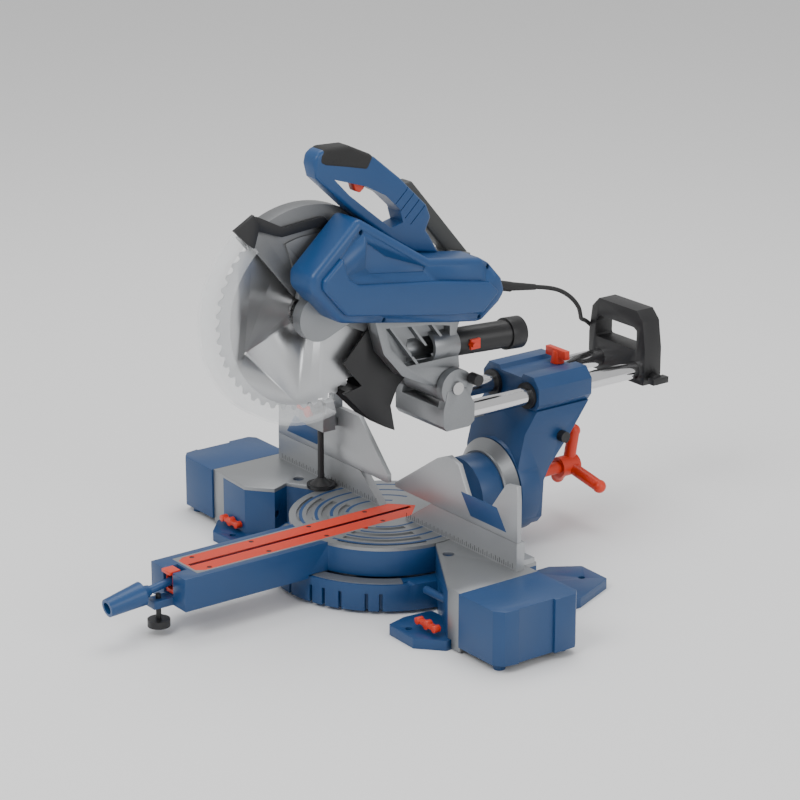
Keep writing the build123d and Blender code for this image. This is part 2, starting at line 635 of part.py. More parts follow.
def dust_chute():
    side = [(-43, 408), (-88, 361), (-76, 344), (-55, 320), (-88, 313), (-43, 267), (-13, 246), (7, 236),
            (-1, 278), (12, 306), (26, 318), (-9, 372), (-30, 408)]
    body = slab_x(side, -19, 19)
    body -= slab_x([(-60, 400), (-95, 361), (-80, 342), (-58, 316), (-100, 305), (-50, 262), (-16, 249),
                    (0, 243), (-7, 280), (5, 308), (16, 320), (-14, 368), (-36, 396)], -16, 16)
    return body - ring_x(BLADE_Y, BLADE_Z, 158, 20, -12, 12) - upper_guard()


def dust_port():
    tube = rod((PORT_X, 108, 361), (PORT_X, 240, 354), 22)
    tube += rod((PORT_X, 212, 355.5), (PORT_X, 240, 354), 25.5)
    return tube - rod((PORT_X, 100, 361.4), (PORT_X, 250, 353.5), 17.5)


def dust_latch():
    tab = block(PORT_X + 22.6, PORT_X + 27, 126, 144, 352, 368)
    return tab + disc_x(128, 360, 4, PORT_X + 22.6, PORT_X + 34)


def strain_relief():
    return rod((40, 160, 449), (40, 213, 434.5), 8) + rod((40, 205, 436.6), (40, 263, 425.5), 7.5, 4.6)


# ---- blade -----------------------------------------------------------------
TEETH = 48


def blade():
    disc = disc_x(BLADE_Y, BLADE_Z, BLADE_R, -1.2, 1.2)
    pitch = 360 / TEETH
    gullet = slab_x([(BLADE_R - 11, -1.5), (BLADE_R - 8, -4.5), (BLADE_R + 1, -6.5), (BLADE_R + 1, 0.6)], -2, 2)
    for i in range(TEETH):
        disc -= Pos(0, BLADE_Y, BLADE_Z) * Rot(i * pitch, 0, 0) * gullet
    return disc - disc_x(BLADE_Y, BLADE_Z, 12.7, -3, 3)


def spindle():
    """Arbor with its flanges, bolt and pulley."""
    body = disc_x(BLADE_Y, BLADE_Z, 8, 1.2, 46)
    body += disc_x(BLADE_Y, BLADE_Z, 12.65, -5, 8)
    body += disc_x(BLADE_Y, BLADE_Z, 26, 1.2, 6) + disc_x(BLADE_Y, BLADE_Z, 26, -6, -1.2)
    body += disc_x(BLADE_Y, BLADE_Z, 9, -12, -5)
    return body + disc_x(BLADE_Y, BLADE_Z, 24, 30, 42)


def lower_guard():
    rim = blade_sector(171.5, 168, 129, 286, -19, 19)
    right = blade_sector(171.5, 140, 129, 286, 16.6, 19)
    left = blade_sector(171.5, 140, 129, 286, -19, -16.6)
    spokes = slab_x(moved([(0, 26), (-155, 78), (-160, -40), (-110, -118), (0, -26)], BLADE_Y, BLADE_Z),
                    -19, -16.6)
    hub = disc_x(BLADE_Y, BLADE_Z, 34, -19, -16.6)
    return rim + right + left + spokes + hub - disc_x(BLADE_Y, BLADE_Z, 20, -30, -10)


def guard_link():
    """Black link along the guard's right side."""
    bar = hull_x([(-112, 570, 8), (-130, 590, 7)], 20, 25)
    bar += hull_x([(-130, 590, 7), (-200, 584, 7)], 20, 25)
    bar += hull_x([(-200, 584, 7), (-245, 604, 10)], 20, 25)
    bar += slab_x([(-284, 599), (-250, 618), (-240, 600), (-250, 568), (-262, 576)], 20, 27)
    return bar - disc_x(-112, 570, 3 + RUN, 0, 40)


# ---- cord ------------------------------------------------------------------
# Each stretch crosses one joint: head to bracket, bracket to tilt arm, tilt arm to bench.
CORD_HEAD = [(40, 263, 425.5), (40, 300, 418.4), (36, 336, 399), (18, 372, 370), (-12, 402, 342),
             (-46, 432, 322), (-70, 464, 308), (-76, 490, 286), (-76, 490, 262)]
CORD_SLIDE = [(-76, 490, 262), (-76, 490, 242), (-76, 474, 227), (-75, 446, 225), (-76, 416, 230),
              (-80, 388, 238), (-85, 364, 243), (-86, 338, 236), (-86, 338, 213)]
CORD_FLOOR = [(-86, 338, 213), (-86, 338, 186), (-86, 340, 156), (-87, 343, 122), (-90, 347, 88),
              (-96, 351, 56), (-106, 354, 27), (-122, 358, 8), (-138, 368, 3.8), (-144.5, 384, 3.5)]
COIL_CENTRE = (-195.0, 385.0)
COIL_MID_R = 36.0
COIL_WALL = 10.5


def cord_tube(route, name):
    """Straight runs joined by tangent arcs."""
    points = [Vector(*p) for p in route]
    radii = []
    for a, b, c in zip(points, points[1:], points[2:]):
        turn = math.radians((b - a).get_angle(c - b))
        shorter = min((b - a).length, (c - b).length)
        radii.append(0.45 * shorter / math.tan(turn / 2))
    path = FilletPolyline(*points, radius=radii)
    print(name, "length", round(path.length, 1), "radii", [round(r) for r in radii])
    section = Plane(origin=path @ 0, z_dir=path % 0) * Circle(CORD_R)
    return sweep(section, path=path)


def cord_clip_bracket():
    clip = block(-83, -69, 484, 496, 256, 268)
    return clip - rod((-76, 490, 250), (-76, 490, 270), CORD_R + 0.1)


def cord_clip_arm():
    clip = block(-93, -66, 331, 345, 207, 219)
    return clip - rod((-86, 338, 200), (-86, 338, 230), CORD_R + 0.1)


def cord_coil():
    x, y = COIL_CENTRE
    ring = Pos(x, y, 0) * Cylinder(COIL_MID_R + COIL_WALL, 21, align=(Align.CENTER, Align.CENTER, Align.MIN))
    return ring - Pos(x, y, 0) * Cylinder(COIL_MID_R - COIL_WALL, 60)


def plug():
    x, y = COIL_CENTRE
    body = rod((x - 18, y - 6, 13), (x + 14, y + 4, 13), 12)
    pins = rod((x + 13, y - 4, 13), (x + 21, y - 2, 13), 2) + rod((x + 10, y + 10, 13), (x + 18, y + 12, 13), 2)
    return body + (pins & body)


NODES = {
    "base_casting": base_casting,
    "side_tables": side_tables,
    "mitre_scale": mitre_scale,
    "pivot_bolt": pivot_bolt,
    "fence_fixed_left": lambda: fence_fixed(FIXED_LEFT, -1),
    "fence_fixed_right": lambda: fence_fixed(FIXED_RIGHT, 1),
    "fence_upper_left": lambda: fence_upper(UPPER_LEFT, -1),
    "fence_upper_right": lambda: fence_upper(UPPER_RIGHT, 1),
    "clamp_column": clamp_column,
    "clamp_spindle": clamp_spindle,
    "clamp_knob": clamp_knob,
    "clamp_lever": clamp_lever,
    "side_box_left": lambda: side_box(-1),
    "side_box_right": lambda: side_box(1),
    "box_latch_left": lambda: box_latch(-1),
    "box_latch_right": lambda: box_latch(1),
    "turntable_casting": turntable_casting,
    "turntable_top": turntable_top,
    "kerf_insert": kerf_insert,
    "insert_screws": insert_screws,
    "bevel_scale": bevel_scale,
    "arm_knob": arm_knob,
    "detent_lever": detent_lever,
    "arm_foot": arm_foot,
    "tilt_arm": tilt_arm,
    "rail_bushes": rail_bushes,
    "bevel_lever": bevel_lever,
    "bevel_stop_pin": bevel_stop_pin,
    "slide_lock": slide_lock,
    "rails": rails,
    "arm_carrier": arm_carrier,
    "rear_bracket": rear_bracket,
    "bracket_knob": bracket_knob,
    "chop_pin": chop_pin,
    "head_lock_pin": head_lock_pin,
    "head_casting": head_casting,
    "upper_guard": upper_guard,
    "drive_housing": drive_housing,
    "motor_cover": motor_cover,
    "motor": motor,
    "rotor": rotor,
    "drive_belt": drive_belt,
    "handle_shells": handle_shells,
    "grip_pad": grip_pad,
    "trigger": trigger,
    "lock_off": lock_off,
    "carry_handle": carry_handle,
    "dust_chute": dust_chute,
    "dust_port": dust_port,
    "dust_latch": dust_latch,
    "strain_relief": strain_relief,
    "blade": blade,
    "spindle": spindle,
    "lower_guard": lower_guard,
    "guard_link": guard_link,
    "cord_tube_head": lambda: cord_tube(CORD_HEAD, "cord_tube_head"),
    "cord_tube_slide": lambda: cord_tube(CORD_SLIDE, "cord_tube_slide"),
    "cord_tube_floor": lambda: cord_tube(CORD_FLOOR, "cord_tube_floor"),
    "cord_coil": cord_coil,
    "plug": plug,
}

os.makedirs("parts", exist_ok=True)
for name, make in NODES.items():
    export_step(make(), os.path.join("parts", name + ".step"))
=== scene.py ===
import bpy
import bmesh
import math
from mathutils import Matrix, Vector


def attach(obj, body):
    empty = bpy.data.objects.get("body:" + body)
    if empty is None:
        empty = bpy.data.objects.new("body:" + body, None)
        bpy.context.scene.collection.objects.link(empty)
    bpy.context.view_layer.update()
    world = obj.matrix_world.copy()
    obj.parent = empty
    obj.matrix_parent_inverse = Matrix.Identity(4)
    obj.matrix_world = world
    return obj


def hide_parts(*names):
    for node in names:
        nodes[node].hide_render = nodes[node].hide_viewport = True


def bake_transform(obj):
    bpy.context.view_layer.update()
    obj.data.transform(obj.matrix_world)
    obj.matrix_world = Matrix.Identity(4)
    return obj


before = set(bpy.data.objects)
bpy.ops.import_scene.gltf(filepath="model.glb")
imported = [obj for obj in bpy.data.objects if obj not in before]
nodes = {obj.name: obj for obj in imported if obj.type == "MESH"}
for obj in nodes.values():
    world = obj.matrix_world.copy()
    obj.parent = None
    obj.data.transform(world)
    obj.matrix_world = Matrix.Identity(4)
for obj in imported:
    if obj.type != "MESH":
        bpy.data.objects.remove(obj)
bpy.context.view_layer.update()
mm = 0.001

# ---------- camera ----------
cameraSet = {"place": (3.2170, -2.3620, 1.6200), "azimuth": 53.36, "elevation": 18.54, "lens": 123.7}


def makeCamera():
    data = bpy.data.cameras.new("sawCamera")
    cam = bpy.data.objects.new("sawCamera", data)
    bpy.context.collection.objects.link(cam)
    az = math.radians(cameraSet["azimuth"])
    el = math.radians(cameraSet["elevation"])
    right = Vector((math.cos(az), math.sin(az), 0))
    back = Vector((math.cos(el) * math.sin(az), -math.cos(el) * math.cos(az), math.sin(el)))
    up = back.cross(right)
    for row in range(3):
        cam.matrix_world[row][0] = right[row]
        cam.matrix_world[row][1] = up[row]
        cam.matrix_world[row][2] = back[row]
    cam.matrix_world.translation = cameraSet["place"]
    data.sensor_width = 36
    data.lens = cameraSet["lens"]
    data.clip_end = 60
    bpy.context.scene.camera = cam


makeCamera()
print("camera ready")


# ---------- shared shader groups ----------
def addGroup(name, inputs, outputs):
    tree = bpy.data.node_groups.new(name, "ShaderNodeTree")
    for label, kind, value in inputs:
        socket = tree.interface.new_socket(name=label, in_out="INPUT", socket_type=kind)
        if value is not None:
            socket.default_value = value
    for label, kind in outputs:
        tree.interface.new_socket(name=label, in_out="OUTPUT", socket_type=kind)
    entry = tree.nodes.new("NodeGroupInput")
    leave = tree.nodes.new("NodeGroupOutput")
    return tree, entry, leave


def buildToneGroup():
    # slow colour drift plus a fine speckle, both around the given colour
    tree, entry, leave = addGroup("toneDrift", [
        ("Colour", "NodeSocketColor", (0.5, 0.5, 0.5, 1)),
        ("Drift", "NodeSocketFloat", 0.15),
        ("Speckle", "NodeSocketFloat", 0.05),
        ("Rough", "NodeSocketFloat", 0.4),
        ("Patch Scale", "NodeSocketFloat", 14.0)],
        [("Colour", "NodeSocketColor"), ("Roughness", "NodeSocketFloat")])
    link = tree.links.new
    coord = tree.nodes.new("ShaderNodeTexCoord")
    patch = tree.nodes.new("ShaderNodeTexNoise")
    patch.inputs["Detail"].default_value = 4
    fine = tree.nodes.new("ShaderNodeTexNoise")
    fine.inputs["Scale"].default_value = 700
    link(coord.outputs["Object"], patch.inputs["Vector"])
    link(coord.outputs["Object"], fine.inputs["Vector"])
    link(entry.outputs["Patch Scale"], patch.inputs["Scale"])

    def centred(source, amount):
        shift = tree.nodes.new("ShaderNodeMath")
        shift.operation = "SUBTRACT"
        shift.inputs[1].default_value = 0.5
        link(source, shift.inputs[0])
        scale = tree.nodes.new("ShaderNodeMath")
        scale.operation = "MULTIPLY"
        link(shift.outputs[0], scale.inputs[0])
        link(amount, scale.inputs[1])
        return scale.outputs[0]
    both = tree.nodes.new("ShaderNodeMath")
    link(centred(patch.outputs["Fac"], entry.outputs["Drift"]), both.inputs[0])
    link(centred(fine.outputs["Fac"], entry.outputs["Speckle"]), both.inputs[1])
    gain = tree.nodes.new("ShaderNodeMath")
    gain.inputs[1].default_value = 1.0
    link(both.outputs[0], gain.inputs[0])
    tint = tree.nodes.new("ShaderNodeVectorMath")
    tint.operation = "SCALE"
    link(entry.outputs["Colour"], tint.inputs[0])
    link(gain.outputs[0], tint.inputs["Scale"])
    link(tint.outputs[0], leave.inputs["Colour"])
    rough = tree.nodes.new("ShaderNodeMath")
    link(entry.outputs["Rough"], rough.inputs[0])
    link(both.outputs[0], rough.inputs[1])
    link(rough.outputs[0], leave.inputs["Roughness"])
    return tree


def buildGrainGroup():
    # surface height: cast pitting, moulded texture or brushed lines by stretch
    tree, entry, leave = addGroup("surfaceGrain", [
        ("Scale", "NodeSocketFloat", 900.0),
        ("Stretch", "NodeSocketVector", (1, 1, 1)),
        ("Strength", "NodeSocketFloat", 0.1)],
        [("Normal", "NodeSocketVector"), ("Mask", "NodeSocketFloat")])
    link = tree.links.new
    coord = tree.nodes.new("ShaderNodeTexCoord")
    mapping = tree.nodes.new("ShaderNodeMapping")
    link(coord.outputs["Object"], mapping.inputs["Vector"])
    link(entry.outputs["Stretch"], mapping.inputs["Scale"])
    noise = tree.nodes.new("ShaderNodeTexNoise")
    noise.inputs["Detail"].default_value = 5
    link(mapping.outputs[0], noise.inputs["Vector"])
    link(entry.outputs["Scale"], noise.inputs["Scale"])
    bump = tree.nodes.new("ShaderNodeBump")
    bump.inputs["Distance"].default_value = 0.0004
    link(entry.outputs["Strength"], bump.inputs["Strength"])
    link(noise.outputs["Fac"], bump.inputs["Height"])
    link(bump.outputs[0], leave.inputs["Normal"])
    link(noise.outputs["Fac"], leave.inputs["Mask"])
    return tree


toneGroup = buildToneGroup()
grainGroup = buildGrainGroup()

finishes = {
    "bluePaint": {"colour": (0.006, 0.048, 0.150), "rough": 0.42, "drift": 0.22, "speckle": 0.10,
        "grain": 620, "strength": 0.16, "coat": 0.12},
    "bluePlastic": {"colour": (0.006, 0.054, 0.170), "rough": 0.40, "drift": 0.12, "speckle": 0.08,
        "grain": 1500, "strength": 0.12, "coat": 0.1},
    "castAlloy": {"colour": (0.27, 0.28, 0.29), "rough": 0.40, "drift": 0.25, "speckle": 0.25, "grain": 480,
        "strength": 0.30, "metal": 0.85},
    "machinedAlloy": {"colour": (0.30, 0.31, 0.32), "rough": 0.42, "drift": 0.16, "speckle": 0.15,
        "grain": 260, "stretch": (1, 14, 14), "strength": 0.10, "metal": 0.75},
    "fenceAlloy": {"colour": (0.40, 0.41, 0.42), "rough": 0.40, "drift": 0.14, "speckle": 0.12,
        "grain": 200, "stretch": (1, 1, 22), "strength": 0.08, "metal": 0.7},
    "guardAlloy": {"colour": (0.17, 0.175, 0.18), "rough": 0.46, "drift": 0.2, "speckle": 0.2, "grain": 700,
        "strength": 0.2, "metal": 0.6},
    "blackPlastic": {"colour": (0.012, 0.012, 0.013), "rough": 0.42, "drift": 0.3, "speckle": 0.2,
        "grain": 1400, "strength": 0.16},
    "greyPlastic": {"colour": (0.045, 0.047, 0.046), "rough": 0.5, "drift": 0.2, "speckle": 0.2,
        "grain": 1400, "strength": 0.15},
    "orangePlastic": {"colour": (0.66, 0.036, 0.008), "rough": 0.42, "drift": 0.12, "speckle": 0.08,
        "grain": 1300, "strength": 0.12, "coat": 0.1},
    "insertOrange": {"colour": (0.62, 0.036, 0.010), "rough": 0.5, "drift": 0.16, "speckle": 0.12,
        "grain": 900, "strength": 0.14},
    "softRubber": {"colour": (0.016, 0.016, 0.016), "rough": 0.72, "drift": 0.25, "speckle": 0.3,
        "grain": 1000, "strength": 0.5},
    "railChrome": {"colour": (0.72, 0.72, 0.73), "rough": 0.13, "drift": 0.08, "speckle": 0.05,
        "grain": 300, "stretch": (8, 1, 8), "strength": 0.03, "metal": 1},
    "turnedSteel": {"colour": (0.5, 0.5, 0.5), "rough": 0.28, "drift": 0.15, "speckle": 0.1, "grain": 600,
        "strength": 0.08, "metal": 1},
    "bladeSteel": {"colour": (0.52, 0.53, 0.54), "rough": 0.33, "drift": 0.10, "speckle": 0.08,
        "grain": 420, "stretch": (1, 9, 1), "strength": 0.05, "metal": 0.9},
    "inkBlack": {"colour": (0.015, 0.015, 0.015), "rough": 0.6, "drift": 0.1, "speckle": 0.1, "grain": 900,
        "strength": 0.05},
}


def makeFinish(name, f):
    mat = bpy.data.materials.new(name)
    mat.use_nodes = True
    tree = mat.node_tree
    shader = tree.nodes["Principled BSDF"]
    tone = tree.nodes.new("ShaderNodeGroup")
    tone.node_tree = toneGroup
    tone.inputs["Colour"].default_value = (*f["colour"], 1)
    tone.inputs["Drift"].default_value = f["drift"]
    tone.inputs["Speckle"].default_value = f["speckle"]
    tone.inputs["Rough"].default_value = f["rough"]
    grain = tree.nodes.new("ShaderNodeGroup")
    grain.node_tree = grainGroup
    grain.inputs["Scale"].default_value = f["grain"]
    grain.inputs["Stretch"].default_value = f.get("stretch", (1, 1, 1))
    grain.inputs["Strength"].default_value = f["strength"]
    tree.links.new(tone.outputs["Colour"], shader.inputs["Base Color"])
    tree.links.new(tone.outputs["Roughness"], shader.inputs["Roughness"])
    tree.links.new(grain.outputs["Normal"], shader.inputs["Normal"])
    shader.inputs["Metallic"].default_value = f.get("metal", 0)
    shader.inputs["Coat Weight"].default_value = f.get("coat", 0)
    shader.inputs["Coat Roughness"].default_value = 0.25
    return mat


mats = {name: makeFinish(name, f) for name, f in finishes.items()}


def makeClear():
    mat = bpy.data.materials.new("clearGuard")
    mat.use_nodes = True
    tree = mat.node_tree
    shader = tree.nodes["Principled BSDF"]
    tone = tree.nodes.new("ShaderNodeGroup")
    tone.node_tree = toneGroup
    tone.inputs["Colour"].default_value = (0.86, 0.88, 0.89, 1)
    tone.inputs["Drift"].default_value = 0.04
    tone.inputs["Rough"].default_value = 0.12
    tree.links.new(tone.outputs["Colour"], shader.inputs["Base Color"])
    tree.links.new(tone.outputs["Roughness"], shader.inputs["Roughness"])
    shader.inputs["Alpha"].default_value = 0.17
    shader.inputs["IOR"].default_value = 1.45
    return mat


mats["clearGuard"] = makeClear()
print("materials ready")


# ---------- modelling helpers ----------
def clearSelection():
    if bpy.context.object and bpy.context.object.mode != "OBJECT":
        bpy.ops.object.mode_set(mode="OBJECT")
    bpy.ops.object.select_all(action="DESELECT")


def makeActive(obj):
    clearSelection()
    obj.select_set(True)
    bpy.context.view_layer.objects.active = obj


def freeze(obj):
    makeActive(obj)
    bpy.ops.object.transform_apply(location=True, rotation=True, scale=True)


def bevelled(obj, width, segments=2, angle=35):
    if width > 0:
        makeActive(obj)
        mod = obj.modifiers.new("edges", "BEVEL")
        mod.width = width * mm
        mod.segments = segments
        mod.limit_method = "ANGLE"
        mod.angle_limit = math.radians(angle)
        mod.use_clamp_overlap = True
        bpy.ops.object.modifier_apply(modifier=mod.name)
    makeActive(obj)
    bpy.ops.object.shade_smooth_by_angle(angle=math.radians(32))
    return obj


def plate(name, points, axis, low, high, width=0.8, segments=2):
    # outline in the two other axes, in millimetres, pushed from low to high
    clearSelection()
    bpy.ops.mesh.primitive_circle_add(vertices=len(points), radius=1, fill_type="NGON")
    obj = bpy.context.object
    obj.name = name
    order = {"x": (1, 2, 0), "y": (0, 2, 1), "z": (0, 1, 2)}[axis]
    for vertex, point in zip(obj.data.vertices, points):
        place = [0, 0, 0]
        place[order[0]] = point[0] * mm
        place[order[1]] = point[1] * mm
        place[order[2]] = low * mm
        vertex.co = place
    move = [0, 0, 0]
    move[order[2]] = (high - low) * mm
    bpy.ops.object.mode_set(mode="EDIT")
    bpy.ops.mesh.select_all(action="SELECT")
    bpy.ops.mesh.extrude_region_move(TRANSFORM_OT_translate={"value": move})
    bpy.ops.mesh.select_all(action="SELECT")
    bpy.ops.mesh.normals_make_consistent(inside=False)
    bpy.ops.object.mode_set(mode="OBJECT")
    return bevelled(obj, width, segments)


def block(name, low, high, width=0.8, segments=2):
    points = [(low[0], low[1]), (high[0], low[1]), (high[0], high[1]), (low[0], high[1])]
    return plate(name, points, "z", low[2], high[2], width, segments)


def rod(name, start, end, radius, endRadius=None, width=0.6, sides=40, segments=2):
    clearSelection()
    a, b = Vector(start) * mm, Vector(end) * mm
    bpy.ops.mesh.primitive_cone_add(vertices=sides, radius1=radius * mm,
                                    radius2=(radius if endRadius is None else endRadius) * mm,
                                    depth=(b - a).length)
    obj = bpy.context.object
    obj.name = name
    obj.rotation_mode = "QUATERNION"
    obj.rotation_quaternion = (b - a).to_track_quat("Z", "Y")
    obj.location = (a + b) / 2
    freeze(obj)
    return bevelled(obj, width, segments)


def carve(obj, cutter):
    makeActive(obj)
    mod = obj.modifiers.new("cut", "BOOLEAN")
    mod.operation = "DIFFERENCE"
    mod.solver = "EXACT"
    mod.object = cutter
    bpy.ops.object.modifier_apply(modifier=mod.name)
    bpy.data.objects.remove(cutter)
    return obj


def joined(name, parts):
    clearSelection()
    for part in parts:
        part.select_set(True)
    bpy.context.view_layer.objects.active = parts[0]
    if len(parts) > 1:
        bpy.ops.object.join()
    parts[0].name = name
    return parts[0]


def repeated(obj, count, step):
    makeActive(obj)
    mod = obj.modifiers.new("row", "ARRAY")
    mod.count = count
    mod.use_relative_offset = False
    mod.use_constant_offset = True
    mod.constant_offset_displace = Vector(step) * mm
    bpy.ops.object.modifier_apply(modifier=mod.name)
    return obj


def placed(obj, body, slotName, finish, *replaced):
    obj.data.materials.clear()
    obj.data.materials.append(mats[finish])
    for poly in obj.data.polygons:
        poly.material_index = 0
    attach(obj, body)
    if replaced:
        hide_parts(*replaced)
    return obj


def softCopy(node, body, slotName, finish, width=0.8, segments=2, name=None):
    # a copy of the CAD node with its loose triangles merged and its edges rounded
    source = nodes[node]
    clearSelection()
    obj = bpy.data.objects.new(name or node + "_soft", source.data.copy())
    bpy.context.collection.objects.link(obj)
    makeActive(obj)
    bpy.ops.object.mode_set(mode="EDIT")
    bpy.ops.mesh.select_all(action="SELECT")
    bpy.ops.mesh.remove_doubles(threshold=0.00001)
    bpy.ops.mesh.dissolve_limited(angle_limit=math.radians(1.0))
    bpy.ops.object.mode_set(mode="OBJECT")
    bevelled(obj, width, segments)
    return placed(obj, body, slotName, finish, node)


# ---------- finishes on the CAD nodes that stay ----------
nodeFinish = {
    "base_casting": "bluePaint", "side_tables": "castAlloy", "mitre_scale": "machinedAlloy",
        "pivot_bolt": "turnedSteel",
    "fence_fixed_left": "fenceAlloy", "fence_fixed_right": "fenceAlloy", "fence_upper_left": "fenceAlloy",
    "fence_upper_right": "fenceAlloy", "clamp_column": "castAlloy", "clamp_spindle": "blackPlastic",
    "clamp_knob": "blackPlastic", "clamp_lever": "orangePlastic", "side_box_left": "bluePaint",
    "side_box_right": "bluePaint", "box_latch_left": "orangePlastic", "box_latch_right": "orangePlastic",
    "turntable_casting": "bluePaint", "turntable_top": "machinedAlloy", "kerf_insert": "insertOrange",
    "insert_screws": "blackPlastic", "bevel_scale": "machinedAlloy", "arm_knob": "bluePlastic",
    "detent_lever": "orangePlastic", "arm_foot": "blackPlastic", "tilt_arm": "bluePaint",
        "rail_bushes": "blackPlastic",
    "bevel_lever": "orangePlastic", "bevel_stop_pin": "blackPlastic", "slide_lock": "orangePlastic",
    "rails": "railChrome", "arm_carrier": "castAlloy", "rear_bracket": "blackPlastic",
        "bracket_knob": "blackPlastic",
    "chop_pin": "turnedSteel", "head_lock_pin": "blackPlastic", "head_casting": "castAlloy",
    "upper_guard": "guardAlloy", "drive_housing": "castAlloy", "motor_cover": "bluePlastic",
        "motor": "turnedSteel",
    "rotor": "turnedSteel", "drive_belt": "softRubber", "handle_shells": "bluePlastic",
        "grip_pad": "softRubber",
    "trigger": "orangePlastic", "lock_off": "orangePlastic", "carry_handle": "greyPlastic",
    "dust_chute": "blackPlastic", "dust_port": "blackPlastic", "dust_latch": "orangePlastic",
    "strain_relief": "softRubber", "blade": "bladeSteel", "spindle": "turnedSteel",
        "lower_guard": "clearGuard",
    "guard_link": "blackPlastic", "cord_tube_head": "softRubber", "cord_tube_slide": "softRubber",
    "cord_tube_floor": "softRubber", "cord_coil": "softRubber", "plug": "softRubber",
}
for node, finish in nodeFinish.items():
    mesh = nodes[node].data
    mesh.materials.clear()
    mesh.materials.append(mats[finish])
print("CAD finishes assigned")

# ---------- cord: three stretches laid end to end ------------------------
cordWidth = 7.0
headRoute = [(40, 263, 425.5), (40, 300, 418.4), (36, 336, 399), (18, 372, 370), (-12, 402, 342),
             (-46, 432, 322), (-70, 464, 308), (-76, 490, 286), (-76, 490, 262)]
slideRoute = [(-76, 490, 262), (-76, 490, 242), (-76, 474, 227), (-75, 446, 225), (-76, 416, 230),
              (-80, 388, 238), (-85, 364, 243), (-86, 338, 236), (-86, 338, 213)]
floorRoute = [(-86, 338, 213), (-86, 338, 186), (-86, 340, 156), (-87, 343, 122), (-90, 347, 88),
              (-96, 351, 56), (-106, 354, 27), (-122, 358, 8), (-138, 368, 3.8), (-144.5, 384, 3.5)]
coilSet = {"centre": (-195, 385), "inner": 29.5, "turns": 7, "step": 7.1, "perTurn": 14}


def cordCurve(name, route):
    curve = bpy.data.curves.new(name, "CURVE")
    curve.dimensions = "3D"
    spline = curve.splines.new("NURBS")
    spline.points.add(len(route) - 1)
    for point, place in zip(spline.points, route):
        point.co = (*(Vector(place) * mm), 1)
    spline.order_u = 3
    spline.use_endpoint_u = True
    spline.resolution_u = 8
    curve.resolution_u = 8
    obj = bpy.data.objects.new(name, curve)
    bpy.context.collection.objects.link(obj)
    return obj


def lineOf(obj):
    mesh = bpy.data.meshes.new_from_object(obj)
    points = [tuple(v.co) for v in mesh.vertices]
    bpy.data.meshes.remove(mesh)
    length = sum((Vector(b) - Vector(a)).length for a, b in zip(points, points[1:]))
    return points, length


def blendedCord(name, route, node):
    obj = cordCurve(name, route)
    points, length = lineOf(obj)
    obj.data.bevel_depth = cordWidth / 2 * mm
    obj.data.bevel_resolution = 5
    obj.data.use_fill_caps = True
    makeActive(obj)
    bpy.ops.object.convert(target="MESH")
    obj = bpy.context.object
    obj.name = name
    obj.data.materials.clear()
    obj.data.materials.append(mats["softRubber"])
    bpy.ops.object.shade_smooth()
    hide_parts(node)
    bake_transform(obj)
    print(name, "length", round(length, 3))
    return obj


blendedCord("cordHead", headRoute, "cord_tube_head")
blendedCord("cordSlide", slideRoute,
    "cord_tube_slide")
blendedCord("cordFloor", floorRoute,
    "cord_tube_floor")


def makeCoil(c):
    # turns wound side by side, the last ones climbing on the first
    route = []
    spots = [(0, 0), (1, 0), (2, 0), (1.5, 0.9), (0.5, 0.9), (0.5, 1.8), (1.5, 1.8)]
    total = c["turns"] * c["perTurn"]
    for i in range(total + 1):
        turn = i / c["perTurn"]
        k = min(int(turn), len(spots) - 1)
        nxt = min(k + 1, len(spots) - 1)
        f = max(0.0, (turn - k) - 0.8) / 0.2 if k < c["turns"] else 1
        across = spots[k][0] * (1 - f) + spots[nxt][0] * f
        lift = spots[k][1] * (1 - f) + spots[nxt][1] * f
        a = -0.25 + math.tau * turn
        r = c["inner"] + across * c["step"]
        route.append((c["centre"][0] + r * math.cos(a), c["centre"][1] + r * math.sin(a),
            3.6 + lift * c["step"]))
    obj = cordCurve("cordCoil", route)
    points, length = lineOf(obj)
    obj.data.bevel_depth = cordWidth / 2 * mm
    obj.data.bevel_resolution = 4
    obj.data.use_fill_caps = True
    obj.data.materials.append(mats["softRubber"])
    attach(obj, "turntable")
    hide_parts("cord_coil")
    print("coil length", round(length, 3))


makeCoil(coilSet)

# ---------- motor cover ----------
coverSet = {
    "outline": [(-110, 605), (-194, 530), (-194, 506), (-145, 451), (61, 415), (118, 407), (153, 432),
        (165, 447),
                (158, 469), (133, 497), (117, 507), (20, 522)],
    "inner": 28, "step": 91, "outer": 99.4, "rim": 9,
    "panel": [(-143, 552), (-134, 520), (-116, 507), (30, 488), (128, 470), (146, 452), (116, 424),
        (62, 429),
              (-138, 463), (-178, 509), (-178, 523)],
    "recess": [(-96, 566), (-62, 540), (10, 512), (6, 505), (-90, 518), (-100, 528)],
    "screws": [(-107, 583), (-65, 443), (113, 416), (129, 492)],
}


